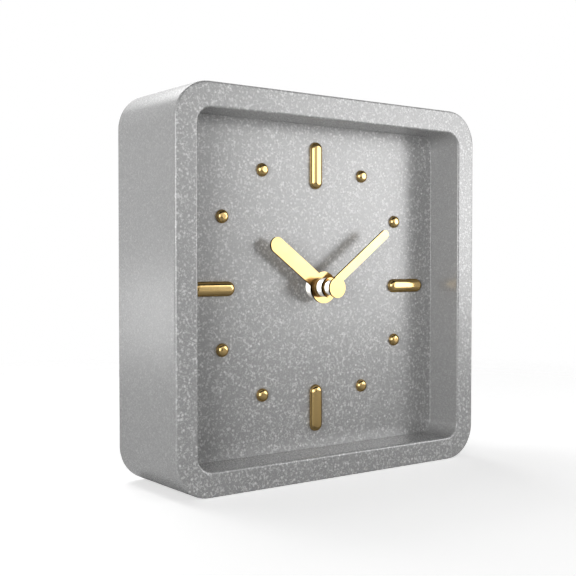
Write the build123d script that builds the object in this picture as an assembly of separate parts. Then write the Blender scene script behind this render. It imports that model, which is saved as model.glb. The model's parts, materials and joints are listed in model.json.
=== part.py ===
from build123d import *
import os
from math import acos, cos, hypot, pi, radians, sin, tan

# A square desk clock: a thick rim, a dial sunk deep inside it, brass markers and hands,
# and a battery movement behind the dial.
# Every piece is drawn with the clock lying on its back: x to the right, y up the dial
# from its centre, z from the back plane towards the viewer. The clock is stood up at
# the end, with its front towards -Y and its base on Z = 0. Sizes are in millimetres.

# Case
case_side = 125.0
rim_width = 7.8
recess_depth = 13.75
outer_corner_radius = 11.8
opening_corner_radius = 5.0
edge_round = 0.7
rear_wall = 5.5
cavity_corner_radius = 6.0
shelf_thickness = 3.0
shelf_window_margin = 3.0
shelf_window_radius = 8.0

# Dial
dial_thickness = 3.0
dial_gap = 0.1
dial_edge_bevel = 0.15
dial_screw_inset = 11.0

# Hour markers
bar_length = 15.9
bar_width = 4.75
bar_height = 1.85
bar_round = 1.8
bar_edge_margin = 5.55
dot_diameter = 4.4
dot_height = 1.55
dot_round = 1.5
dot_ring_extra = 1.4
dot_ring_rise = 1.75
dot_ring_shift = -0.85
marker_pin_radius = 0.6
marker_pin_length = 2.0
bar_pin_spacing = 8.0

# Hands
hand_thickness = 0.8
hour_hand_width = 5.25
hour_hand_reach = 26.4
hour_hub_radius = 5.3
hour_hand_angle = 306.1
hour_hand_lift = 4.1
hour_collar_radius = 3.15
hour_collar_length = 2.3
minute_hand_width = 3.0
minute_hand_reach = 31.9
minute_hand_angle = 53.5
minute_disc_radius = 3.35
minute_hub_radius = 2.5
minute_hub_length = 3.0
cap_pin_radius = 0.6
cap_pin_length = 0.9

# Shaft stack through the dial
arbor_radius = 1.5
hour_pipe_radius = 2.5
bush_radius = 3.95
bush_flange_radius = 6.0
bush_flange_thickness = 0.8
hand_seat_depth = 1.8

# Movement housing
movement_rise = 28.0
housing_wall = 1.2
partition_thickness = 1.0
partition_gap = 0.55
washer_thickness = 0.5
washer_radius = 9.0
ear_length = 7.0
ear_width = 8.0
ear_thickness = 2.0
lid_rebate = 0.6

# Battery cell
cell_diameter = 14.5
cell_length = 49.2
cell_nub_radius = 2.7
cell_nub_length = 1.3
cell_clearance = 0.15
cell_end_room = 1.55

# Back panel, battery door and knob
panel_thickness = 2.5
panel_recess = 0.5
panel_lip = 2.2
panel_gap = 0.25
panel_edge_gap = 0.2
boss_radius = 4.5
boss_inset = 5.0
door_end_margin = 1.8
door_side_margin = 1.25
door_pin_radius = 0.7
door_pin_length = 1.6
finger_notch_radius = 6.0
knob_radius = 6.0
knob_finger_room = 3.0
knob_flutes = 20
knob_flute_radius = 0.55

# Screws
screw_shank_radius = 1.0
screw_head_radius = 2.0
screw_head_height = 1.2
screw_bite = 2.0
panel_screw_bite = 6.0
panel_screw_head_height = 1.3
slot_width = 0.6
slot_depth = 0.5
small_screw_shank_radius = 0.5
small_screw_head_radius = 1.0
small_screw_head_height = 0.7
small_screw_bite = 2.0

# Gear train: tooth counts and modules
cannon_teeth = 12
minute_wheel_teeth = 36
setting_teeth = 18
motion_module = 0.5
minute_pinion_teeth = 10
hour_wheel_teeth = 40
rotor_pinion_teeth = 8
fifth_wheel_teeth = 48
fifth_module = 0.25
fifth_pinion_teeth = 8
seconds_wheel_teeth = 40
seconds_module = 0.3
seconds_pinion_teeth = 8
third_wheel_teeth = 60
third_module = 0.3
third_pinion_teeth = 8
centre_wheel_teeth = 64
centre_module = 0.32

# Directions from one arbor to the next, anticlockwise from the viewer's right
minute_wheel_direction = 180.0
setting_direction = 120.0
third_direction = 10.0
seconds_direction = 50.0
fifth_direction = 110.0
rotor_direction = 180.0

# Wheels and arbors
pressure_angle = 20.0
tooth_fill = 0.42
wheel_addendum = 0.65
wheel_dedendum = 1.15
pinion_addendum = 0.8
pinion_dedendum = 1.0
wheel_thickness = 0.8
motion_wheel_thickness = 1.1
pinion_overhang = 0.3
layer_gap = 0.4
wheel_arbor_radius = 0.5
pivot_radius = 0.35
pivot_length = 0.7
centre_hub_wall = 1.6
setting_shaft_radius = 1.4

# Motor
magnet_radius = 2.0
magnet_length = 3.0
stator_hole_radius = 2.4
stator_thickness = 0.8
stator_border = 1.0
stator_length = 25.0
lug_width = 2.2
core_width = 1.6
coil_radius = 2.7
coil_flange_thickness = 0.8
bobbin_wall = 0.4
stator_post_radius = 1.2

# Circuit
board_width = 15.0
board_height = 12.4
board_thickness = 0.8
board_stand_off = 1.2
board_post_radius = 1.5
board_peg_radius = 0.7
chip_radius = 2.6
chip_height = 1.0
crystal_radius = 1.0
crystal_length = 6.0
contact_thickness = 0.4
contact_width = 8.0
contact_tongue_width = 2.0
contact_bump_radius = 2.0

# Angles of the dial
full_turn = 360.0
twelve_direction = 90.0
hours = range(1, 13)
quarter_step = 3

# Clearances
running_clearance = 0.05
seat_clearance = 0.03
end_shake = 0.1
moving_gap = 0.3

# Places along the depth, from the back plane to the front
housing_depth = housing_wall + cell_diameter + 2 * cell_clearance
panel_back = panel_recess
panel_front = panel_back + panel_thickness
housing_back = panel_front + panel_gap
housing_front = housing_back + housing_depth
dial_back = housing_front + washer_thickness
dial_front = dial_back + dial_thickness
case_depth = dial_front + recess_depth
shelf_back = dial_back - shelf_thickness
inside_front = housing_front - housing_wall
inside_back = housing_back + housing_wall

# Half sizes across the case
case_half = case_side / 2
opening_half = case_half - rim_width
dial_half = opening_half - dial_gap
cavity_half = case_half - rear_wall
panel_seat_half = cavity_half + panel_lip
panel_half = panel_seat_half - panel_edge_gap
inside_top = movement_rise - housing_wall
boss_place = cavity_half - boss_inset
dial_screw_place = opening_half - dial_screw_inset

# Battery bay across the bottom of the movement, below the centre wheel
centre_wheel_tip = centre_module * (centre_wheel_teeth / 2 + wheel_addendum)
partition_top = -centre_wheel_tip - partition_gap
bay_top = partition_top - partition_thickness
bay_bottom = bay_top - cell_diameter - 2 * cell_clearance
housing_low = bay_bottom - housing_wall
cell_y = (bay_bottom + bay_top) / 2
cell_z = inside_front - cell_clearance - cell_diameter / 2

# The standing pose
upright = Pos(0, case_depth / 2, case_half) * Rot(90, 0, 0)


# Shape helpers

def slab(outline, bottom, top):
    """A flat outline raised between two heights."""
    return Pos(0, 0, bottom) * extrude(outline, top - bottom)


def column(place, radius, bottom, top):
    """A round bar standing at a place between two heights."""
    low = (Align.CENTER, Align.CENTER, Align.MIN)
    return Pos(place[0], place[1], bottom) * Cylinder(radius, top - bottom, align=low)


def block(left, right, low, high, bottom, top):
    """A plain box between six planes."""
    corner = (Align.MIN, Align.MIN, Align.MIN)
    return Pos(left, low, bottom) * Box(right - left, high - low, top - bottom, align=corner)


def lying_bar(left, right, y, z, radius):
    """A round bar that lies from left to right."""
    low = (Align.CENTER, Align.CENTER, Align.MIN)
    return Pos(left, y, z) * Rot(0, 90, 0) * Cylinder(radius, right - left, align=low)


def rounded_square(half, radius):
    return RectangleRounded(2 * half, 2 * half, radius)


def corners(reach):
    """The four corner places of a square."""
    return [(sx * reach, sy * reach) for sx in (-1, 1) for sy in (-1, 1)]


def step_from(place, distance, direction):
    """The place that lies a distance away in a direction."""
    angle = radians(direction)
    return (place[0] + distance * cos(angle), place[1] + distance * sin(angle))


def hour_direction(hour):
    """The direction of an hour from the dial's centre."""
    return twelve_direction - full_turn * hour / len(hours)


def clock_place(radius, hour):
    """A place on a ring at an hour of the dial."""
    return step_from((0, 0), radius, hour_direction(hour))


def screw(place, shank, head, head_height, seat, bite):
    """A slotted screw driven towards the viewer: its head lies behind the seat."""
    body = column(place, shank, seat - head_height / 2, seat + bite)
    body += column(place, head, seat - head_height, seat)
    slot = Box(2 * head, slot_width, slot_depth)
    slot_middle = seat - head_height + slot_depth / 2
    return body - Pos(place[0], place[1], slot_middle) * slot


# Gear helpers

def involute(angle):
    return tan(angle) - angle


def centre_distance(teeth_a, teeth_b, module):
    return module * (teeth_a + teeth_b) / 2


def meshing_turn(turn, teeth, mate_teeth, direction):
    """The turn of a gear that puts its tooth space on the mate's tooth."""
    share = (direction - turn) / (full_turn / teeth)
    return direction + full_turn / 2 - (0.5 - share) * full_turn / mate_teeth


def tooth_half_angle(radius, teeth, module):
    """Half the angle that a tooth fills at a radius, on an involute flank."""
    base = module * teeth / 2 * cos(radians(pressure_angle))
    at_radius = acos(min(1, base / radius))
    at_pitch = tooth_fill * pi / teeth
    return at_pitch + involute(radians(pressure_angle)) - involute(at_radius)


def gear(place, teeth, module, turn, addendum, dedendum, bottom, top):
    """A spur gear with flat-sided teeth, its first tooth at the given turn."""
    pitch = module * teeth / 2
    radii = [pitch - dedendum * module, pitch, pitch + addendum * module]
    points = []
    for tooth in range(teeth):
        middle = radians(turn) + 2 * pi * tooth / teeth
        rising = [(r, middle - tooth_half_angle(r, teeth, module)) for r in radii]
        falling = [(r, middle + tooth_half_angle(r, teeth, module)) for r in reversed(radii)]
        points += [(r * cos(a), r * sin(a)) for r, a in rising + falling]
    outline = make_face(Polyline(*points, close=True))
    return Pos(place[0], place[1], 0) * slab(outline, bottom, top)


def wheel(place, teeth, module, turn, bottom, top):
    return gear(place, teeth, module, turn, wheel_addendum, wheel_dedendum, bottom, top)


def pinion(place, teeth, module, turn, bottom, top):
    return gear(place, teeth, module, turn, pinion_addendum, pinion_dedendum, bottom, top)


def arbor(place, radius):
    """A wheel's arbor with a pivot at each end, from the housing to its lid."""
    body = column(place, radius, inside_back + end_shake, inside_front - end_shake)
    back_end = inside_back - pivot_length
    front_end = inside_front + pivot_length
    return body + column(place, pivot_radius, back_end, front_end)


# Places of the arbors
centre = (0, 0)
motion_distance = centre_distance(cannon_teeth, minute_wheel_teeth, motion_module)
hour_module = 2 * motion_distance / (minute_pinion_teeth + hour_wheel_teeth)
minute_wheel_place = step_from(centre, motion_distance, minute_wheel_direction)
setting_distance = centre_distance(minute_wheel_teeth, setting_teeth, motion_module)
setting_place = step_from(minute_wheel_place, setting_distance, setting_direction)
third_distance = centre_distance(third_pinion_teeth, centre_wheel_teeth, centre_module)
third_place = step_from(centre, third_distance, third_direction)
seconds_distance = centre_distance(seconds_pinion_teeth, third_wheel_teeth, third_module)
seconds_place = step_from(third_place, seconds_distance, seconds_direction)
fifth_distance = centre_distance(fifth_pinion_teeth, seconds_wheel_teeth, seconds_module)
fifth_place = step_from(seconds_place, fifth_distance, fifth_direction)
rotor_distance = centre_distance(rotor_pinion_teeth, fifth_wheel_teeth, fifth_module)
rotor_place = step_from(fifth_place, rotor_distance, rotor_direction)

# Width of the movement: room for its cell and for its widest gears
setting_tip = motion_module * (setting_teeth / 2 + pinion_addendum)
seconds_tip = seconds_module * (seconds_wheel_teeth / 2 + wheel_addendum)
gear_reach = max(setting_tip - setting_place[0], seconds_tip + seconds_place[0])
gear_top = max(setting_tip + setting_place[1], seconds_tip + seconds_place[1])
contact_slot_depth = contact_thickness + 2 * seat_clearance
cell_total = cell_length + cell_nub_length
inside_half = max(cell_total / 2 + cell_end_room, gear_reach + moving_gap + contact_slot_depth)
movement_half = inside_half + housing_wall
ear_reach = movement_half + ear_length
shelf_window_half = max(movement_half, movement_rise, -housing_low) + shelf_window_margin

# Layers of the gears, from the dial towards the back
layer_step = wheel_thickness + 2 * (pinion_overhang + layer_gap) - pinion_overhang
hour_wheel_front = inside_front - moving_gap
hour_wheel_back = hour_wheel_front - motion_wheel_thickness
minute_wheel_front = hour_wheel_back - layer_gap
minute_wheel_back = minute_wheel_front - motion_wheel_thickness
centre_wheel_front = minute_wheel_back - 2 * layer_gap
third_wheel_front = centre_wheel_front - layer_step
seconds_wheel_front = third_wheel_front - layer_step
fifth_wheel_front = seconds_wheel_front - layer_step


def pinion_span(wheel_front, thickness):
    """The heights of a pinion that overlaps its mating wheel on both sides."""
    return wheel_front - thickness - pinion_overhang, wheel_front + pinion_overhang


# Case and dial

def case_shell():
    shell = slab(rounded_square(case_half, outer_corner_radius), 0, case_depth)
    shell -= slab(rounded_square(opening_half, opening_corner_radius), dial_back, case_depth)
    shell -= slab(rounded_square(cavity_half, cavity_corner_radius), 0, shelf_back)
    shell -= slab(rounded_square(panel_seat_half, cavity_corner_radius), 0, panel_front)
    window = rounded_square(shelf_window_half, shelf_window_radius)
    window += Rectangle(2 * (ear_reach + shelf_window_margin), ear_width + 2 * shelf_window_margin)
    shell -= slab(window, shelf_back, dial_back)
    for place in corners(boss_place):
        shell += column(place, boss_radius, panel_front, shelf_back)
        hole_top = panel_front + panel_screw_bite
        shell -= column(place, screw_shank_radius + seat_clearance, panel_front, hole_top)
    for place in corners(dial_screw_place):
        shell -= column(place, screw_shank_radius + seat_clearance, shelf_back, dial_back)
    front_edges = shell.faces().sort_by(Axis.Z)[-1].edges()
    back_edges = shell.faces().sort_by(Axis.Z)[0].outer_wire().edges()
    return fillet(list(front_edges) + list(back_edges), edge_round)


bar_ring = dial_half - bar_edge_margin - bar_length / 2
dot_ring = bar_ring + dot_ring_extra
bar_hours = [hour for hour in hours if hour % quarter_step == 0]
dot_hours = [hour for hour in hours if hour % quarter_step != 0]


def dot_place(hour):
    x, y = clock_place(dot_ring, hour)
    return (x + dot_ring_shift, y + dot_ring_rise)


def bar_pin_places(hour):
    return [clock_place(bar_ring + side * bar_pin_spacing / 2, hour) for side in (-1, 1)]


def dial_plate():
    plate = slab(rounded_square(dial_half, opening_corner_radius - dial_gap), dial_back, dial_front)
    plate = chamfer(plate.faces().sort_by(Axis.Z)[-1].edges(), dial_edge_bevel)
    plate -= column(centre, bush_radius + running_clearance, dial_back, dial_front)
    pin_places = [dot_place(hour) for hour in dot_hours]
    for hour in bar_hours:
        pin_places += bar_pin_places(hour)
    for place in pin_places:
        hole_bottom = dial_front - marker_pin_length - seat_clearance
        plate -= column(place, marker_pin_radius + seat_clearance, hole_bottom, dial_front)
    for place in corners(dial_screw_place) + ear_places():
        hole_top = dial_back + screw_bite + seat_clearance
        plate -= column(place, screw_shank_radius + seat_clearance, dial_back, hole_top)
    return plate


def marker_bar(hour):
    bar = slab(SlotOverall(bar_length, bar_width), dial_front, dial_front + bar_height)
    bar = fillet(bar.faces().sort_by(Axis.Z)[-1].edges(), bar_round)
    x, y = clock_place(bar_ring, hour)
    bar = Pos(x, y, 0) * Rot(0, 0, hour_direction(hour)) * bar
    for place in bar_pin_places(hour):
        bar += column(place, marker_pin_radius, dial_front - marker_pin_length, dial_front)
    return bar


def marker_dot(hour):
    place = dot_place(hour)
    dot = column(place, dot_diameter / 2, dial_front, dial_front + dot_height)
    dot = fillet(dot.faces().sort_by(Axis.Z)[-1].edges(), dot_round)
    return dot + column(place, marker_pin_radius, dial_front - marker_pin_length, dial_front)


def dial_screws():
    return [
        screw(place, screw_shank_radius, screw_head_radius, screw_head_height,
              shelf_back, shelf_thickness + screw_bite)
        for place in corners(dial_screw_place)
    ]


# Shaft stack and hands
hour_hand_back = dial_front + hour_hand_lift
hour_hand_front = hour_hand_back + hand_thickness
hour_collar_front = hour_hand_front + hour_collar_length
minute_hand_back = hour_collar_front + moving_gap
minute_hub_back = minute_hand_back + hand_thickness
minute_hub_front = minute_hub_back + minute_hub_length
minute_cap_front = minute_hub_front + hand_thickness
bush_front = hour_hand_back - moving_gap
hour_bore_radius = arbor_radius + running_clearance
bush_bore_radius = hour_pipe_radius + running_clearance


def mounting_bush():
    bush = column(centre, bush_radius, inside_front, bush_front)
    flange_front = inside_front + bush_flange_thickness
    bush += column(centre, bush_flange_radius, inside_front, flange_front)
    return bush - column(centre, bush_bore_radius, inside_front, bush_front)


def hand(width, reach, round_radius, angle, bottom):
    """A flat hand with a round hub and a round tip, turned clockwise from twelve."""
    shank = reach - width / 2
    outline = Circle(round_radius) + Pos(0, shank / 2) * Rectangle(width, shank)
    outline += Pos(0, shank) * Circle(width / 2)
    return Rot(0, 0, -angle) * slab(outline, bottom, bottom + hand_thickness)


def hour_hand():
    plate = hand(hour_hand_width, hour_hand_reach, hour_hub_radius, hour_hand_angle, hour_hand_back)
    hole = hour_pipe_radius + seat_clearance
    return plate - column(centre, hole, hour_hand_back, hour_hand_front)


def hour_collar():
    collar = column(centre, hour_collar_radius, hour_hand_front, hour_collar_front)
    return collar - column(centre, hour_pipe_radius + seat_clearance, hour_hand_front, hour_collar_front)


def minute_hand():
    plate = hand(minute_hand_width, minute_hand_reach, minute_disc_radius, minute_hand_angle,
                 minute_hand_back)
    return plate - column(centre, arbor_radius + seat_clearance, minute_hand_back, minute_hub_back)


def minute_hub():
    hub = column(centre, minute_hub_radius, minute_hub_back, minute_hub_front)
    seat_top = minute_hub_back + hand_seat_depth
    hub -= column(centre, arbor_radius + seat_clearance, minute_hub_back, seat_top)
    pin_end = minute_hub_front - cap_pin_length - seat_clearance
    return hub - column(centre, cap_pin_radius + seat_clearance, pin_end, minute_hub_front)


def minute_cap():
    cap = column(centre, minute_disc_radius, minute_hub_front, minute_cap_front)
    return cap + column(centre, cap_pin_radius, minute_hub_front - cap_pin_length, minute_hub_front)


# Motion work
cannon_turn = minute_wheel_direction
minute_wheel_turn = meshing_turn(cannon_turn, cannon_teeth, minute_wheel_teeth, minute_wheel_direction)
setting_turn = meshing_turn(minute_wheel_turn, minute_wheel_teeth, setting_teeth, setting_direction)
hour_wheel_turn = minute_wheel_direction
minute_pinion_turn = meshing_turn(hour_wheel_turn, hour_wheel_teeth, minute_pinion_teeth,
                                  minute_wheel_direction)
cannon_span = pinion_span(minute_wheel_front, motion_wheel_thickness)
minute_pinion_top = hour_wheel_front + pinion_overhang / 2


def minute_arbor():
    shaft_front = minute_hub_back + hand_seat_depth - end_shake
    shaft = column(centre, arbor_radius, inside_back + end_shake, shaft_front)
    shaft += column(centre, pivot_radius, inside_back - pivot_length, inside_back + end_shake)
    return shaft + pinion(centre, cannon_teeth, motion_module, cannon_turn, *cannon_span)


def hour_wheel():
    disc = wheel(centre, hour_wheel_teeth, hour_module, hour_wheel_turn, hour_wheel_back, hour_wheel_front)
    pipe = column(centre, hour_pipe_radius, hour_wheel_back, hour_collar_front - end_shake)
    return disc + pipe - column(centre, hour_bore_radius, hour_wheel_back, hour_collar_front)


def minute_wheel():
    disc = wheel(minute_wheel_place, minute_wheel_teeth, motion_module, minute_wheel_turn,
                 minute_wheel_back, minute_wheel_front)
    leaves = pinion(minute_wheel_place, minute_pinion_teeth, hour_module, minute_pinion_turn,
                    minute_wheel_front, minute_pinion_top)
    return disc + leaves + arbor(minute_wheel_place, wheel_arbor_radius)


def setting_arbor():
    leaves = pinion(setting_place, setting_teeth, motion_module, setting_turn, *cannon_span)
    shaft = column(setting_place, setting_shaft_radius, knob_seat, cannon_span[1])
    pivot = column(setting_place, wheel_arbor_radius, cannon_span[1], inside_front - end_shake)
    tip = column(setting_place, pivot_radius, inside_front - end_shake, inside_front + pivot_length)
    return leaves + shaft + pivot + tip


knob_back = panel_recess / 2
knob_front = housing_back - moving_gap / 2
knob_seat = (knob_back + knob_front) / 2


def setting_knob():
    knob = column(setting_place, knob_radius, knob_back, knob_front)
    for flute in range(knob_flutes):
        place = step_from(setting_place, knob_radius, full_turn * flute / knob_flutes)
        knob -= column(place, knob_flute_radius, knob_back, knob_front)
    return knob - column(setting_place, setting_shaft_radius + seat_clearance, knob_seat, knob_front)


# Drive train
centre_wheel_turn = third_direction
third_pinion_turn = meshing_turn(centre_wheel_turn, centre_wheel_teeth, third_pinion_teeth, third_direction)
third_wheel_turn = seconds_direction
seconds_pinion_turn = meshing_turn(third_wheel_turn, third_wheel_teeth, seconds_pinion_teeth,
                                   seconds_direction)
seconds_wheel_turn = fifth_direction
fifth_pinion_turn = meshing_turn(seconds_wheel_turn, seconds_wheel_teeth, fifth_pinion_teeth,
                                 fifth_direction)
fifth_wheel_turn = rotor_direction
rotor_pinion_turn = meshing_turn(fifth_wheel_turn, fifth_wheel_teeth, rotor_pinion_teeth, rotor_direction)


def centre_wheel():
    back = centre_wheel_front - wheel_thickness
    disc = wheel(centre, centre_wheel_teeth, centre_module, centre_wheel_turn, back, centre_wheel_front)
    hub = column(centre, arbor_radius + centre_hub_wall, back, cannon_span[0] - end_shake)
    return disc + hub - column(centre, arbor_radius + running_clearance, back, cannon_span[0])


def train_wheel(place, teeth, module, turn, front, leaf_teeth, leaf_module, leaf_turn, mate_front):
    """A moulded wheel with its pinion in front of it on one arbor."""
    body = wheel(place, teeth, module, turn, front - wheel_thickness, front)
    leaf_front = pinion_span(mate_front, wheel_thickness)[1]
    body += pinion(place, leaf_teeth, leaf_module, leaf_turn, front, leaf_front)
    return body + arbor(place, wheel_arbor_radius)


def third_wheel():
    return train_wheel(third_place, third_wheel_teeth, third_module, third_wheel_turn, third_wheel_front,
                       third_pinion_teeth, centre_module, third_pinion_turn, centre_wheel_front)


def seconds_wheel():
    return train_wheel(seconds_place, seconds_wheel_teeth, seconds_module, seconds_wheel_turn,
                       seconds_wheel_front, seconds_pinion_teeth, third_module, seconds_pinion_turn,
                       third_wheel_front)


def fifth_wheel():
    return train_wheel(fifth_place, fifth_wheel_teeth, fifth_module, fifth_wheel_turn, fifth_wheel_front,
                       fifth_pinion_teeth, seconds_module, fifth_pinion_turn, seconds_wheel_front)


# Motor: rotor, stator, core and coil
rotor_leaf_span = pinion_span(fifth_wheel_front, wheel_thickness)
magnet_back = rotor_leaf_span[1] + layer_gap
magnet_front = magnet_back + magnet_length
stator_back = seconds_wheel_front + moving_gap
stator_front = stator_back + stator_thickness
core_front = stator_front + stator_thickness
stator_right = rotor_place[0] + stator_hole_radius + stator_border + lug_width
stator_left = stator_right - stator_length
stator_low = rotor_place[1] - stator_hole_radius - stator_border
stator_high = rotor_place[1] + stator_hole_radius + stator_border
coil_flange_half = (inside_top - stator_high - 2 * moving_gap) / 2
coil_y = stator_high + moving_gap + coil_flange_half
coil_z = (stator_front + core_front) / 2
bobbin_left = stator_left + lug_width + moving_gap
bobbin_right = stator_right - lug_width - moving_gap
lug_places = [(stator_left + lug_width / 2, rotor_place[1]), (stator_right - lug_width / 2, rotor_place[1])]


def rotor_pinion():
    leaves = pinion(rotor_place, rotor_pinion_teeth, fifth_module, rotor_pinion_turn, *rotor_leaf_span)
    return leaves + arbor(rotor_place, wheel_arbor_radius)


def rotor_magnet():
    magnet = column(rotor_place, magnet_radius, magnet_back, magnet_front)
    return magnet - column(rotor_place, wheel_arbor_radius + seat_clearance, magnet_back, magnet_front)


def stator_plate():
    plate = block(stator_left, stator_right, stator_low, stator_high, stator_back, stator_front)
    plate -= column(rotor_place, stator_hole_radius, stator_back, stator_front)
    for place in lug_places:
        plate -= column(place, small_screw_shank_radius + seat_clearance, stator_back, stator_front)
    return plate


def coil_core():
    bar = block(stator_left, stator_right, coil_y - core_width / 2, coil_y + core_width / 2,
                stator_front, core_front)
    for place in lug_places:
        bar += block(place[0] - lug_width / 2, place[0] + lug_width / 2, stator_low,
                     coil_y + core_width / 2, stator_front, core_front)
    for place in lug_places:
        bar -= column(place, small_screw_shank_radius + seat_clearance, stator_front, core_front)
    return bar


bobbin_tube_radius = hypot(core_width, stator_thickness) / 2 + bobbin_wall


def coil_bobbin():
    bobbin = lying_bar(bobbin_left, bobbin_right, coil_y, coil_z, bobbin_tube_radius)
    for left in (bobbin_left, bobbin_right - coil_flange_thickness):
        bobbin += block(left, left + coil_flange_thickness, coil_y - coil_flange_half,
                        coil_y + coil_flange_half, coil_z - coil_radius, coil_z + coil_radius)
    room = seat_clearance
    return bobbin - block(bobbin_left, bobbin_right, coil_y - core_width / 2 - room,
                          coil_y + core_width / 2 + room, stator_front - room, core_front + room)


def coil_winding():
    left = bobbin_left + coil_flange_thickness
    right = bobbin_right - coil_flange_thickness
    winding = lying_bar(left, right, coil_y, coil_z, coil_radius)
    return winding - lying_bar(left, right, coil_y, coil_z, bobbin_tube_radius + seat_clearance)


def stator_screws():
    return [
        screw(place, small_screw_shank_radius, small_screw_head_radius, small_screw_head_height,
              stator_back, 2 * stator_thickness + small_screw_bite)
        for place in lug_places
    ]


# Circuit board and battery contacts
board_back = inside_back + board_stand_off
board_front = board_back + board_thickness
board_left = stator_left + lug_width
board_right = board_left + board_width
board_high = inside_top - moving_gap
board_low = board_high - board_height
board_posts = [(board_left + 2 * board_post_radius, board_high - 2 * board_post_radius),
               (board_right - 2 * board_post_radius, board_high - 2 * board_post_radius)]
contact_high = board_high - contact_tongue_width
contact_low = contact_high - contact_tongue_width


def circuit_board():
    board = block(board_left, board_right, board_low, board_high, board_back, board_front)
    for place in board_posts:
        board -= column(place, board_peg_radius + seat_clearance, board_back, board_front)
    return board


def circuit_chip():
    place = (board_right - moving_gap - chip_radius, board_low + moving_gap + chip_radius)
    return column(place, chip_radius, board_front, board_front + chip_height)


def quartz_crystal():
    left = board_left + moving_gap
    y = board_low + crystal_radius + moving_gap
    z = board_front + crystal_radius + seat_clearance
    return lying_bar(left, left + crystal_length, y, z, crystal_radius)


def battery_contact(side):
    """A strip against the side wall with a tongue that presses on the board."""
    outer = side * (inside_half - seat_clearance)
    inner = outer - side * contact_thickness
    left, right = sorted((outer, inner))
    low = cell_y - contact_width / 2
    pad = block(left, right, low, cell_y + contact_width / 2, board_front, cell_z + contact_width / 2)
    riser = block(left, right, low, contact_high, board_front, board_front + contact_tongue_width)
    board_edge = board_right - contact_tongue_width if side > 0 else board_left + contact_tongue_width
    tongue_left, tongue_right = sorted((outer, board_edge))
    tongue = block(tongue_left, tongue_right, contact_low, contact_high,
                   board_front, board_front + contact_thickness)
    reach = side * (cell_total / 2 + seat_clearance)
    bump_left, bump_right = sorted((outer, reach))
    bump = lying_bar(bump_left, bump_right, cell_y, cell_z, contact_bump_radius)
    return pad + riser + tongue + bump


def battery_cell():
    shoulder = cell_total / 2 - cell_nub_length
    body = lying_bar(-cell_total / 2, shoulder, cell_y, cell_z, cell_diameter / 2)
    return body + lying_bar(shoulder, cell_total / 2, cell_y, cell_z, cell_nub_radius)


# Movement housing

def ear_places():
    return [(side * (movement_half + ear_length / 2), 0) for side in (-1, 1)]


train_places = [minute_wheel_place, third_place, seconds_place, fifth_place, rotor_place]


def movement_housing():
    body = block(-movement_half, movement_half, housing_low, movement_rise, housing_back, housing_front)
    body -= block(-inside_half, inside_half, partition_top, inside_top, inside_back, inside_front)
    body -= block(-inside_half, inside_half, bay_bottom, bay_top, housing_back, inside_front)
    body -= block(-inside_half - lid_rebate, inside_half + lid_rebate, partition_top - lid_rebate,
                  inside_top + lid_rebate, housing_back, inside_back)
    for side in (-1, 1):
        left, right = sorted((side * inside_half, side * (inside_half - contact_slot_depth)))
        body -= block(left, right, bay_top, partition_top, board_front - end_shake,
                      board_front + contact_tongue_width + end_shake)
    for place in ear_places():
        left = place[0] - ear_length / 2
        body += block(left, left + ear_length, -ear_width / 2, ear_width / 2,
                      dial_back - ear_thickness, dial_back)
        body -= column(place, screw_shank_radius + seat_clearance, dial_back - ear_thickness, dial_back)
    body -= column(centre, bush_radius + seat_clearance, inside_front, housing_front)
    flange_room = bush_flange_thickness + seat_clearance
    body -= column(centre, bush_flange_radius + seat_clearance, inside_front, inside_front + flange_room)
    for place in train_places + [setting_place]:
        hole_top = inside_front + pivot_length + end_shake
        body -= column(place, pivot_radius + running_clearance, inside_front, hole_top)
    for place in lug_places:
        body += column(place, stator_post_radius, core_front, inside_front)
        hole_top = core_front + small_screw_bite + end_shake
        body -= column(place, small_screw_shank_radius + seat_clearance, core_front, hole_top)
    for place in lid_screw_places():
        body += column(place, stator_post_radius, inside_back, inside_front)
        hole_top = inside_back + small_screw_bite + end_shake
        body -= column(place, small_screw_shank_radius + seat_clearance, inside_back, hole_top)
    return body


def lid_screw_places():
    inset = inside_half - contact_slot_depth - moving_gap - stator_post_radius
    low = partition_top + moving_gap + stator_post_radius
    high = gear_top + moving_gap + stator_post_radius
    return [(-inset, low), (inset, low), (-inset, high), (inset, high)]


def movement_lid():
    fit = lid_rebate - seat_clearance
    lid = block(-inside_half - fit, inside_half + fit, partition_top - fit, inside_top + fit,
                housing_back, inside_back)
    for place in train_places + [centre]:
        hole_bottom = inside_back - pivot_length - end_shake
        lid -= column(place, pivot_radius + running_clearance, hole_bottom, inside_back)
    lid -= column(setting_place, setting_shaft_radius + running_clearance, housing_back, inside_back)
    for place in board_posts:
        lid += column(place, board_post_radius, inside_back, board_back)
        lid += column(place, board_peg_radius, board_back, board_front)
    for place in lid_screw_places():
        lid -= column(place, small_screw_shank_radius + seat_clearance, housing_back, inside_back)
        sink = housing_back + small_screw_head_height
        lid -= column(place, small_screw_head_radius + seat_clearance, housing_back, sink)
    return lid


def lid_screws():
    seat = housing_back + small_screw_head_height
    return [
        screw(place, small_screw_shank_radius, small_screw_head_radius, small_screw_head_height,
              seat, inside_back - seat + small_screw_bite)
        for place in lid_screw_places()
    ]


def movement_screws():
    return [
        screw(place, screw_shank_radius, screw_head_radius, screw_head_height,
              dial_back - ear_thickness, ear_thickness + screw_bite)
        for place in ear_places()
    ]


def dial_washer():
    ring = column(centre, washer_radius, housing_front, dial_back)
    return ring - column(centre, bush_radius + running_clearance, housing_front, dial_back)


# Back panel, its screws and the battery door
door_right = cell_total / 2 + door_end_margin
door_left = -door_right
door_low = cell_y - cell_diameter / 2 - door_side_margin
door_high = cell_y + cell_diameter / 2 + door_side_margin
door_axis_z = (panel_back + panel_front) / 2
door_axis_y = door_high - panel_thickness / 2
panel_head_seat = panel_back + panel_screw_head_height


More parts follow.
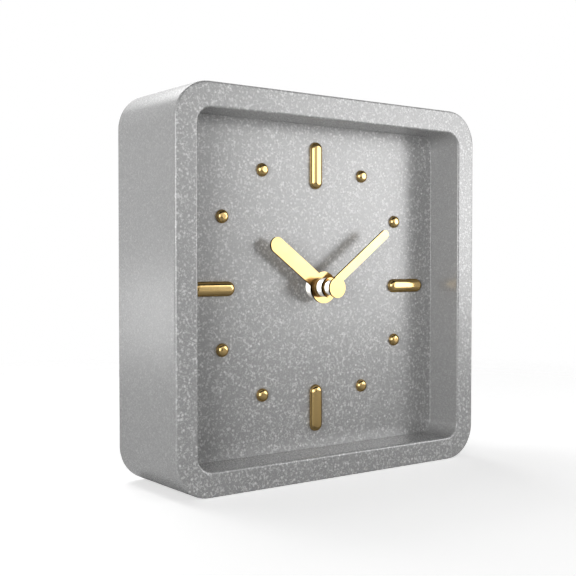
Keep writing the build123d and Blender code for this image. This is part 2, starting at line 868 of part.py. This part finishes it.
def hinge_bar(overhang, radius):
    """A round bar on the battery door's hinge axis, past the door at both ends."""
    return lying_bar(door_left - overhang, door_right + overhang, door_axis_y, door_axis_z, radius)


def back_panel():
    panel = slab(rounded_square(panel_half, cavity_corner_radius - panel_edge_gap), panel_back, panel_front)
    room = moving_gap
    panel -= block(door_left - room, door_right + room, door_low - room, door_high + room,
                   panel_back, panel_front)
    panel -= hinge_bar(door_pin_length + room, door_pin_radius + running_clearance)
    panel -= column((0, door_low), finger_notch_radius, panel_back, door_axis_z)
    panel -= column(setting_place, knob_radius + knob_finger_room, panel_back, panel_front)
    for place in corners(boss_place):
        panel -= column(place, screw_shank_radius + seat_clearance, panel_back, panel_front)
        panel -= column(place, screw_head_radius + seat_clearance, panel_back, panel_head_seat)
    return panel


def back_panel_screws():
    return [
        screw(place, screw_shank_radius, screw_head_radius, panel_screw_head_height,
              panel_head_seat, panel_front - panel_head_seat + panel_screw_bite - end_shake)
        for place in corners(boss_place)
    ]


def battery_door():
    door = block(door_left, door_right, door_low, door_axis_y, panel_back, panel_front)
    door += hinge_bar(0, panel_thickness / 2)
    return door + hinge_bar(door_pin_length, door_pin_radius)


pieces = {
    "case_shell": case_shell(),
    "dial_plate": dial_plate(),
    "dial_screws": dial_screws(),
    "dial_washer": dial_washer(),
    "mounting_bush": mounting_bush(),
    "movement_housing": movement_housing(),
    "movement_lid": movement_lid(),
    "movement_screws": movement_screws(),
    "lid_screws": lid_screws(),
    "minute_arbor": minute_arbor(),
    "minute_hub": minute_hub(),
    "minute_hand": minute_hand(),
    "minute_cap": minute_cap(),
    "hour_wheel": hour_wheel(),
    "hour_hand": hour_hand(),
    "hour_collar": hour_collar(),
    "minute_wheel": minute_wheel(),
    "setting_arbor": setting_arbor(),
    "setting_knob": setting_knob(),
    "centre_wheel": centre_wheel(),
    "third_wheel": third_wheel(),
    "seconds_wheel": seconds_wheel(),
    "fifth_wheel": fifth_wheel(),
    "rotor_pinion": rotor_pinion(),
    "rotor_magnet": rotor_magnet(),
    "stator_plate": stator_plate(),
    "coil_core": coil_core(),
    "coil_bobbin": coil_bobbin(),
    "coil_winding": coil_winding(),
    "stator_screws": stator_screws(),
    "circuit_board": circuit_board(),
    "circuit_chip": circuit_chip(),
    "quartz_crystal": quartz_crystal(),
    "contact_positive": battery_contact(1),
    "contact_negative": battery_contact(-1),
    "battery_cell": battery_cell(),
    "back_panel": back_panel(),
    "back_panel_screws": back_panel_screws(),
    "battery_door": battery_door(),
}
for hour in bar_hours:
    pieces[f"marker_bar_{hour:02d}"] = marker_bar(hour)
for hour in dot_hours:
    pieces[f"marker_dot_{hour:02d}"] = marker_dot(hour)

os.makedirs("parts", exist_ok=True)
for name, piece in pieces.items():
    solids = piece if isinstance(piece, list) else [piece]
    standing = [solid for part in solids for solid in (upright * part).solids()]
    export_step(Compound(standing), f"parts/{name}.step")
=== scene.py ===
"""The looks of the square desk clock: finishes, studio light, floor and camera."""
import json
import math

import bpy
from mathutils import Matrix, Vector


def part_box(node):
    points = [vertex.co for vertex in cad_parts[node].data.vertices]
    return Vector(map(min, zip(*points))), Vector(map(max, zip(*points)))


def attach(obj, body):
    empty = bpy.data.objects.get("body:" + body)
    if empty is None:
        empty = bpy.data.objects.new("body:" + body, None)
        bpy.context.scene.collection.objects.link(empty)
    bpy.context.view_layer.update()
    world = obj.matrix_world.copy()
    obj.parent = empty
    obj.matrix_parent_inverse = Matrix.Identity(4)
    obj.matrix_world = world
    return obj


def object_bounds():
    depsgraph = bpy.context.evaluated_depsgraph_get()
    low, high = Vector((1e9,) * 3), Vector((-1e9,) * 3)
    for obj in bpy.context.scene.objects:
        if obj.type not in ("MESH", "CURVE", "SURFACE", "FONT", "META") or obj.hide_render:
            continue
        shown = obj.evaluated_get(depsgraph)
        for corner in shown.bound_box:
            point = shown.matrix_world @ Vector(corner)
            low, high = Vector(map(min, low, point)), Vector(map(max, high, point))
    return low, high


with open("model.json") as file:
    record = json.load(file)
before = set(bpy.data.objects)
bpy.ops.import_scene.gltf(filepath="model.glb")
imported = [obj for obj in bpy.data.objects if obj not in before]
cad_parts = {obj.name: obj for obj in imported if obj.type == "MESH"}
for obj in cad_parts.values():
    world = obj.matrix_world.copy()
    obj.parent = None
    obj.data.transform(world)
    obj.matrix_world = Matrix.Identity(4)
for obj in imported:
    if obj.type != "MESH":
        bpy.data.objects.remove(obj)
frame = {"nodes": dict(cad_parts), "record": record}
cad_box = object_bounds()
nodes = frame["nodes"]

# Sizes in metres
millimetre = 0.001
object_middle = (cad_box[0] + cad_box[1]) / 2

# Camera, in the photograph's square frame
camera_place = Vector((-0.2082, -0.27005, 0.0709))
camera_direction = Vector((0.59504, 0.80328, -0.02578))
camera_lens = 62.0
camera_sensor = 36.0
camera_near = 0.01

# Floor
floor_half = 1.5
floor_fade_start = 0.12
floor_fade_end = 0.42
floor_colour = (0.80, 0.80, 0.80, 1)
floor_glow = 0.57

# Seam between dial and case
seam_corner = 4.9 * millimetre
seam_radius = 0.22 * millimetre
seam_corner_steps = 8

# Battery cell's jacket, from its bare end
cell_band_length = 12 * millimetre
cell_bare_length = 2.2 * millimetre

# Surrounding light
fill_level = 0.02


# Colours

def grey(level):
    return (level, level, level, 1)


white = grey(1)
stone_dark = grey(0.325)
stone_pale = grey(0.365)
stone_cloud = grey(0.41)
# Paler grey for the edges: partly wear, partly a painted highlight along them.
stone_worn_gleam = grey(0.6)
stone_fleck = grey(0.82)
brass = (0.62, 0.44, 0.19, 1)
deep_brass = (0.54, 0.36, 0.14, 1)
# Near-black brass for the sides of hands and markers: painted shade standing in for their dark
# reflection.
painted_shade_brass = (0.012, 0.009, 0.004, 1)
brass_edge_tint = (0.25, 0.18, 0.08, 1)
nickel = (0.90, 0.88, 0.84, 1)
dull_nickel = (0.78, 0.75, 0.69, 1)
wheel_cream = (0.62, 0.61, 0.56, 1)
wheel_pale = (0.75, 0.74, 0.70, 1)
bobbin_tan = (0.55, 0.50, 0.38, 1)
bobbin_pale = (0.68, 0.64, 0.52, 1)
board_dark = (0.015, 0.085, 0.035, 1)
board_pale = (0.03, 0.14, 0.06, 1)
copper_dark = (0.36, 0.13, 0.05, 1)
copper_pale = (0.62, 0.27, 0.12, 1)
cell_lacquer = (0.03, 0.035, 0.05, 1)
cell_rubbed = (0.10, 0.11, 0.14, 1)
cell_band_gold = (0.55, 0.36, 0.13, 1)
cell_bare_steel = (0.72, 0.72, 0.74, 1)
card_black = grey(0.02)


# Node helpers

class Finish:
    """A procedural material: one main shader, and short ways to add texture nodes to it."""

    def __init__(self, name, **constants):
        self.material = bpy.data.materials.new(name)
        self.material.use_nodes = True
        self.tree = self.material.node_tree
        self.shader = self.tree.nodes["Principled BSDF"]
        for socket, value in constants.items():
            self.shader.inputs[socket.replace("_", " ")].default_value = value
        self.place = self.node("ShaderNodeTexCoord").outputs["Object"]

    def node(self, kind, inputs=None, **settings):
        """A node with its settings made, and its inputs set or linked."""
        made = self.tree.nodes.new(kind)
        for setting, value in settings.items():
            setattr(made, setting, value)
        for socket, value in (inputs or {}).items():
            if isinstance(value, bpy.types.NodeSocket):
                self.tree.links.new(value, made.inputs[socket])
            else:
                made.inputs[socket].default_value = value
        return made

    def math(self, operation, first, second=0.0):
        return self.node("ShaderNodeMath", {0: first, 1: second}, operation=operation).outputs[0]

    def span(self, value, low, high, out_low=0.0, out_high=1.0):
        """The value moved from one span to another, held at its ends."""
        made = self.node("ShaderNodeMapRange", {
            "Value": value, "From Min": low, "From Max": high, "To Min": out_low, "To Max": out_high})
        return made.outputs["Result"]

    def stretched(self, scale):
        """The place on the object, drawn out along its axes."""
        return self.node("ShaderNodeMapping", {"Vector": self.place, "Scale": scale}).outputs[0]

    def noise(self, scale, detail=2.0, roughness=0.5, distortion=0.0, place=None):
        made = self.node("ShaderNodeTexNoise", {
            "Vector": place or self.place, "Scale": scale, "Detail": detail,
            "Roughness": roughness, "Distortion": distortion})
        return made.outputs[0]

    def blend(self, share, first, second):
        """A colour between two colours."""
        made = self.node("ShaderNodeMix", {"Factor": share}, data_type="RGBA")
        for socket, colour in ((made.inputs[6], first), (made.inputs[7], second)):
            if isinstance(colour, bpy.types.NodeSocket):
                self.tree.links.new(colour, socket)
            else:
                socket.default_value = colour
        return made.outputs[2]

    def facing(self, axis):
        """How squarely the surface faces along an axis, either way."""
        normal = self.node("ShaderNodeNewGeometry").outputs["Normal"]
        part = self.node("ShaderNodeSeparateXYZ", {0: normal}).outputs[axis]
        return self.math("ABSOLUTE", part)

    def edges(self, radius):
        """Nearly 0 on open surfaces and up to 1 on rounded or sharp edges."""
        soft = self.node("ShaderNodeBevel", {"Radius": radius}).outputs[0]
        true_normal = self.node("ShaderNodeNewGeometry").outputs["True Normal"]
        dot = self.node("ShaderNodeVectorMath", {0: soft, 1: true_normal}, operation="DOT_PRODUCT")
        return self.span(dot.outputs["Value"], 0.98, 0.8)

    def colour(self, socket):
        self.tree.links.new(socket, self.shader.inputs["Base Color"])

    def roughness(self, socket):
        self.tree.links.new(socket, self.shader.inputs["Roughness"])

    def leaning(self, share, lean):
        """The surface's normal, shrunk along some axes and leaned, so a plain side shades as domed."""
        normal = self.node("ShaderNodeNewGeometry").outputs["Normal"]
        leaned = self.node("ShaderNodeVectorMath", {0: normal, 1: share, 2: lean},
                           operation="MULTIPLY_ADD")
        unit = self.node("ShaderNodeVectorMath", {0: leaned.outputs[0]}, operation="NORMALIZE")
        return unit.outputs[0]

    def bump(self, height, depth, normal=None):
        """Raises the surface by a share of a depth in metres."""
        inputs = {"Height": height, "Strength": 1.0, "Distance": depth}
        if normal:
            inputs["Normal"] = normal
        made = self.node("ShaderNodeBump", inputs)
        self.tree.links.new(made.outputs[0], self.shader.inputs["Normal"])


# Finishes

def mineral_composite(name):
    """Satin grey composite with pale round and squiggled flecks in its front and dial, and paler edges
    that are partly wear and partly painted highlight.
    """
    finish = Finish(name, IOR=1.9)
    cells = finish.node("ShaderNodeTexVoronoi", {"Vector": finish.place, "Scale": 640.0})
    bright = finish.span(finish.noise(420, detail=1.0), 0.36, 0.58, 0.3, 0.9)
    dots = finish.math("MULTIPLY", finish.span(cells.outputs["Distance"], 0.34, 0.16), bright)
    lines = finish.noise(800, detail=1.0, distortion=0.6)
    off_line = finish.math("ABSOLUTE", finish.math("SUBTRACT", lines, 0.5))
    worms = finish.span(off_line, 0.06, 0.03)
    patches = finish.span(finish.noise(1000, detail=1.0), 0.47, 0.53, 0.0, 0.65)
    flecks = finish.math("MAXIMUM", dots, finish.math("MULTIPLY", worms, patches))
    front = finish.span(finish.facing("Y"), 0.3, 1.0, 0.25, 1.0)
    shown = finish.math("MULTIPLY", flecks, front)
    grain = finish.noise(2600, detail=3.0, roughness=0.7)
    clouds = finish.noise(45, detail=2.0)
    ground = finish.blend(finish.span(grain, 0.3, 0.7), stone_dark, stone_pale)
    ground = finish.blend(finish.span(clouds, 0.35, 0.65, 0.0, 0.15), ground, stone_cloud)
    colour = finish.blend(finish.math("MULTIPLY", shown, 0.9), ground, stone_fleck)
    # Edges are paled: partly wear, partly a painted highlight along the rounded edges.
    worn = finish.math("MULTIPLY", finish.edges(0.5 * millimetre), 0.4)
    finish.colour(finish.blend(worn, colour, stone_worn_gleam))
    finish.roughness(finish.span(grain, 0.3, 0.7, 0.22, 0.30))
    relief = finish.math("ADD", finish.math("MULTIPLY", grain, 0.5), shown)
    finish.bump(relief, 0.006 * millimetre)
    return finish.material


def polished_brass(name, colour, deep, side, roughness):
    """Polished brass with faint tarnish clouds, hairline scratches, and near-black sides that are
    painted shade for their dark reflection.
    """
    finish = Finish(name, Metallic=1.0, Specular_Tint=brass_edge_tint)
    tarnish = finish.noise(220, detail=4.0, roughness=0.6)
    face = finish.blend(finish.span(tarnish, 0.4, 0.75, 0.0, 0.35), colour, deep)
    # Sides that face away from the front take the side colour: painted shade in place of the dark
    # reflection there.
    finish.colour(finish.blend(finish.span(finish.facing("Y"), 0.02, 0.12), side, face))
    scratches = finish.noise(900, detail=3.0, place=finish.stretched((0.12, 1.0, 4.0)))
    finish.roughness(finish.span(scratches, 0.35, 0.7, roughness, roughness + 0.06))
    finish.bump(scratches, 0.001 * millimetre)
    return finish.material


def turned_nickel(name, colour, dull, roughness):
    """Nickel-plated turned brass: fine rings around, and sides that shade as slightly domed."""
    finish = Finish(name, Metallic=1.0)
    rings = finish.noise(2400, detail=2.0, place=finish.stretched((0.04, 1.0, 0.04)))
    stain = finish.noise(500, detail=3.0)
    toned = finish.blend(finish.span(stain, 0.4, 0.75, 0.0, 0.4), colour, dull)
    finish.colour(finish.blend(finish.span(rings, 0.35, 0.65, 0.0, 0.3), toned, dull))
    finish.roughness(finish.span(rings, 0.3, 0.7, roughness, roughness + 0.08))
    finish.bump(rings, 0.002 * millimetre, finish.leaning((1, 1, 0.3), (0, -0.75, 0)))
    return finish.material


def moulded_plastic(name, colour, pale, roughness, texture=1500, depth=0.02):
    """Moulded plastic with a spark-worn texture, its depth in millimetres, and paler, rubbed edges."""
    finish = Finish(name)
    pits = finish.noise(texture, detail=3.0, roughness=0.6)
    clouds = finish.noise(60, detail=2.0)
    body = finish.blend(finish.span(clouds, 0.35, 0.65, 0.0, 0.4), colour, pale)
    rubbed = finish.math("MULTIPLY", finish.edges(0.3 * millimetre), 0.5)
    finish.colour(finish.blend(rubbed, body, pale))
    finish.roughness(finish.span(pits, 0.3, 0.7, roughness, roughness + 0.12))
    finish.bump(pits, depth * millimetre)
    return finish.material


def drawn_metal(name, colour, dark, roughness, stretch):
    """Metal with fine lines drawn along one axis."""
    finish = Finish(name, Metallic=1.0)
    lines = finish.noise(1400, detail=3.0, roughness=0.7, place=finish.stretched(stretch))
    stain = finish.noise(180, detail=3.0)
    toned = finish.blend(finish.span(stain, 0.4, 0.7, 0.0, 0.5), colour, dark)
    finish.colour(finish.blend(finish.span(lines, 0.35, 0.65, 0.0, 0.25), toned, dark))
    finish.roughness(finish.span(lines, 0.3, 0.7, roughness, roughness + 0.15))
    finish.bump(lines, 0.004 * millimetre)
    return finish.material


def wound_wire(name):
    """Enamelled copper wire, its turns side by side along the coil."""
    finish = Finish(name, Metallic=0.8)
    turns = finish.node("ShaderNodeTexWave", {
        "Vector": finish.place, "Scale": 1100.0, "Distortion": 0.4}, bands_direction="X")
    enamel = finish.noise(300, detail=3.0)
    finish.colour(finish.blend(enamel, copper_dark, copper_pale))
    finish.roughness(finish.span(enamel, 0.3, 0.7, 0.28, 0.42))
    finish.bump(turns.outputs["Fac"], 0.08 * millimetre)
    return finish.material


def cell_jacket(name):
    """A plain battery cell: a dark lacquered jacket with a bare metal end."""
    finish = Finish(name)
    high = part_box("battery_cell")[1]
    along = finish.node("ShaderNodeSeparateXYZ", {0: finish.place}).outputs["X"]
    band = finish.math("GREATER_THAN", along, high.x - cell_band_length)
    bare = finish.math("GREATER_THAN", along, high.x - cell_bare_length)
    rubs = finish.noise(400, detail=4.0, roughness=0.65)
    jacket = finish.blend(finish.span(rubs, 0.4, 0.75, 0.0, 0.3), cell_lacquer, cell_rubbed)
    jacket = finish.blend(band, jacket, cell_band_gold)
    finish.colour(finish.blend(bare, jacket, cell_bare_steel))
    metal = finish.math("MAXIMUM", band, bare)
    finish.tree.links.new(metal, finish.shader.inputs["Metallic"])
    finish.roughness(finish.span(rubs, 0.3, 0.7, 0.25, 0.4))
    finish.bump(rubs, 0.003 * millimetre)
    return finish.material


finishes = {
    "mineral_grey": mineral_composite("mineral_composite"),
    "marker_brass": polished_brass("marker_brass", brass, deep_brass, painted_shade_brass, roughness=0.10),
    "hand_brass": polished_brass("hand_brass", brass, deep_brass, painted_shade_brass, roughness=0.16),
    "hub_nickel": turned_nickel("hub_nickel", nickel, dull_nickel, roughness=0.22),
    "panel_plastic": moulded_plastic("panel_plastic", grey(0.045), grey(0.085), roughness=0.5),
    "knob_plastic": moulded_plastic("knob_plastic", grey(0.02), grey(0.06),
                                    roughness=0.38, texture=2500, depth=0.008),
    "housing_plastic": moulded_plastic("housing_plastic", grey(0.02), grey(0.05), roughness=0.45),
    "wheel_plastic": moulded_plastic("wheel_plastic", wheel_cream, wheel_pale,
                                     roughness=0.4, texture=3000, depth=0.004),
    "steel": drawn_metal("plated_steel", grey(0.62), grey(0.42),
                         roughness=0.25, stretch=(1.0, 0.15, 1.0)),
    "rubber": moulded_plastic("washer_rubber", grey(0.012), grey(0.035),
                              roughness=0.75, texture=2000, depth=0.02),
    "core_steel": drawn_metal("core_steel", grey(0.5), grey(0.33),
                              roughness=0.32, stretch=(0.1, 1.0, 1.0)),
    "copper_wire": wound_wire("coil_copper"),
    "bobbin_plastic": moulded_plastic("bobbin_plastic", bobbin_tan, bobbin_pale,
                                      roughness=0.42, texture=3000, depth=0.004),
    "board_green": moulded_plastic("board_green", board_dark, board_pale,
                                   roughness=0.35, texture=2200, depth=0.01),
    "chip_black": moulded_plastic("chip_resin", grey(0.008), grey(0.03),
                                  roughness=0.3, texture=1200, depth=0.02),
    "crystal_can": drawn_metal("crystal_can", grey(0.68), grey(0.5),
                               roughness=0.2, stretch=(0.1, 1.0, 1.0)),
    "magnet": drawn_metal("sintered_magnet", grey(0.16), grey(0.08),
                          roughness=0.5, stretch=(1.0, 1.0, 1.0)),
    "cell_jacket": cell_jacket("cell_jacket"),
}

for part in frame["record"]["subparts"]:
    shown_node = nodes[part["node"]]
    shown_node.data.materials.clear()
    shown_node.data.materials.append(finishes[part["material_slot"]])


# Seam between dial and case

def add_seam():
    """The fine bead that closes the joint around the dial."""
    low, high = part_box("dial_plate")
    middle = (low + high) / 2
    half_width = (high.x - low.x) / 2 - seam_corner
    half_height = (high.z - low.z) / 2 - seam_corner
    line = bpy.data.curves.new("dial_seam", "CURVE")
    line.dimensions = "3D"
    line.bevel_depth = seam_radius
    path = line.splines.new("POLY")
    path.use_cyclic_u = True
    points = []
    for corner, (side, rise) in enumerate(((1, 1), (-1, 1), (-1, -1), (1, -1))):
        for step in range(seam_corner_steps + 1):
            turn = math.radians(90) * (corner + step / seam_corner_steps)
            across = middle.x + side * half_width + seam_corner * math.cos(turn)
            up = middle.z + rise * half_height + seam_corner * math.sin(turn)
            points.append((across, low.y, up, 1))
    path.points.add(len(points) - 1)
    for point, place in zip(path.points, points):
        point.co = place
    line.materials.append(finishes["mineral_grey"])
    seam = bpy.data.objects.new("dial_seam", line)
    bpy.context.scene.collection.objects.link(seam)
    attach(seam, "case")


add_seam()


# Floor

def stage_sheet(name, width, height, material):
    """A flat rectangle around the origin that belongs to the stage."""
    across, along = width / 2, height / 2
    corners = [(-across, -along, 0), (across, -along, 0), (across, along, 0), (-across, along, 0)]
    mesh = bpy.data.meshes.new(name)
    mesh.from_pydata(corners, [], [(0, 1, 2, 3)])
    mesh.materials.append(material)
    sheet = bpy.data.objects.new(name, mesh)
    bpy.context.scene.collection.objects.link(sheet)
    return sheet


def floor_finish():
    """A pale floor that keeps the shadow near the clock and melts into the white beyond."""
    finish = Finish("pale_floor", Base_Color=floor_colour, Roughness=0.9, Specular_IOR_Level=0.0)
    seen = finish.node("ShaderNodeLightPath").outputs["Is Camera Ray"]
    finish.shader.inputs["Emission Color"].default_value = white
    glow = finish.math("MULTIPLY", seen, floor_glow)
    finish.tree.links.new(glow, finish.shader.inputs["Emission Strength"])
    away = finish.node("ShaderNodeVectorMath", {0: finish.place}, operation="LENGTH").outputs["Value"]
    gone = finish.math("MULTIPLY", seen, finish.span(away, floor_fade_start, floor_fade_end))
    finish.tree.links.new(finish.math("SUBTRACT", 1.0, gone), finish.shader.inputs["Alpha"])
    return finish.material


stage_sheet("floor", 2 * floor_half, 2 * floor_half, floor_finish())


# Light

def direction(azimuth, elevation):
    """The way from the clock to a light: azimuth 0 is straight in front, positive to the right."""
    turn, rise = math.radians(azimuth), math.radians(elevation)
    return Vector((math.sin(turn) * math.cos(rise), -math.cos(turn) * math.cos(rise), math.sin(rise)))


def aim(holder, azimuth, elevation, distance):
    """Sets a lamp or card at a distance from the middle of the clock, turned towards it."""
    away = direction(azimuth, elevation)
    holder.location = object_middle + away * distance
    holder.rotation_euler = away.to_track_quat("Z", "Y").to_euler()


def softbox(name, azimuth, elevation, distance, width, height, power):
    """A rectangular soft lamp aimed at the middle of the clock."""
    lamp = bpy.data.lights.new(name, "AREA")
    lamp.shape = "RECTANGLE"
    lamp.size = width
    lamp.size_y = height
    lamp.energy = power
    holder = bpy.data.objects.new(name, lamp)
    aim(holder, azimuth, elevation, distance)
    holder.visible_camera = False
    bpy.context.scene.collection.objects.link(holder)
    return holder


softbox("key_light", azimuth=50, elevation=12.5, distance=0.6,
        width=0.39, height=0.375, power=1.33)
softbox("key_core", azimuth=47, elevation=4, distance=0.6,
        width=0.12, height=0.12, power=0.075)
left_light = softbox("left_light", azimuth=-58, elevation=2, distance=0.7,
                     width=0.30, height=0.30, power=3.20)
left_light.visible_glossy = False
gleam_strip = softbox("gleam_strip", azimuth=-50, elevation=2, distance=0.4,
                      width=0.30, height=0.30, power=0.90)
gleam_strip.visible_diffuse = False
softbox("low_rear_light", azimuth=-143, elevation=-6, distance=0.5,
        width=0.08, height=0.10, power=0.085)
softbox("rear_light", azimuth=178, elevation=52, distance=0.6,
        width=0.46, height=0.34, power=1.45)
softbox("top_rear_light", azimuth=-143, elevation=70, distance=0.5,
        width=0.20, height=0.20, power=0.55)


def flag(name, azimuth, elevation, distance, width, height):
    """A dark card that only reflections see, for the dark lines in polished brass."""
    finish = Finish(name, Base_Color=card_black, Roughness=0.9)
    card = stage_sheet(name, width, height, finish.material)
    aim(card, azimuth, elevation, distance)
    card.visible_camera = False
    card.visible_diffuse = False
    card.visible_shadow = False
    card.visible_transmission = False


flag("front_flag", azimuth=12, elevation=0, distance=0.40,
     width=0.11, height=0.13)
flag("right_flag", azimuth=100, elevation=10, distance=0.40,
     width=0.40, height=0.50)
flag("overhead_flag", azimuth=0, elevation=55, distance=0.45,
     width=0.90, height=0.30)


def surround():
    """Weak even fill, and pure white where the camera, metal or glass looks past the clock."""
    world = bpy.data.worlds.new("studio")
    world.use_nodes = True
    bpy.context.scene.world = world
    tree = world.node_tree
    back = tree.nodes["Background"]
    back.inputs["Color"].default_value = white
    path = tree.nodes.new("ShaderNodeLightPath").outputs
    seen = path["Is Camera Ray"]
    for kind in ("Is Glossy Ray", "Is Transmission Ray"):
        either = tree.nodes.new("ShaderNodeMath")
        either.operation = "MAXIMUM"
        tree.links.new(seen, either.inputs[0])
        tree.links.new(path[kind], either.inputs[1])
        seen = either.outputs[0]
    level = tree.nodes.new("ShaderNodeMapRange")
    level.inputs["To Min"].default_value = fill_level
    level.inputs["To Max"].default_value = 1.0
    tree.links.new(seen, level.inputs["Value"])
    tree.links.new(level.outputs["Result"], back.inputs["Strength"])


surround()


# Camera

def add_camera():
    lens = bpy.data.cameras.new("camera")
    lens.lens = camera_lens
    lens.sensor_width = camera_sensor
    holder = bpy.data.objects.new("camera", lens)
    holder.location = camera_place
    holder.rotation_euler = camera_direction.to_track_quat("-Z", "Y").to_euler()
    lens.clip_start = camera_near
    bpy.context.scene.collection.objects.link(holder)
    bpy.context.scene.camera = holder


add_camera()
bpy.context.scene.view_settings.view_transform = "Standard"
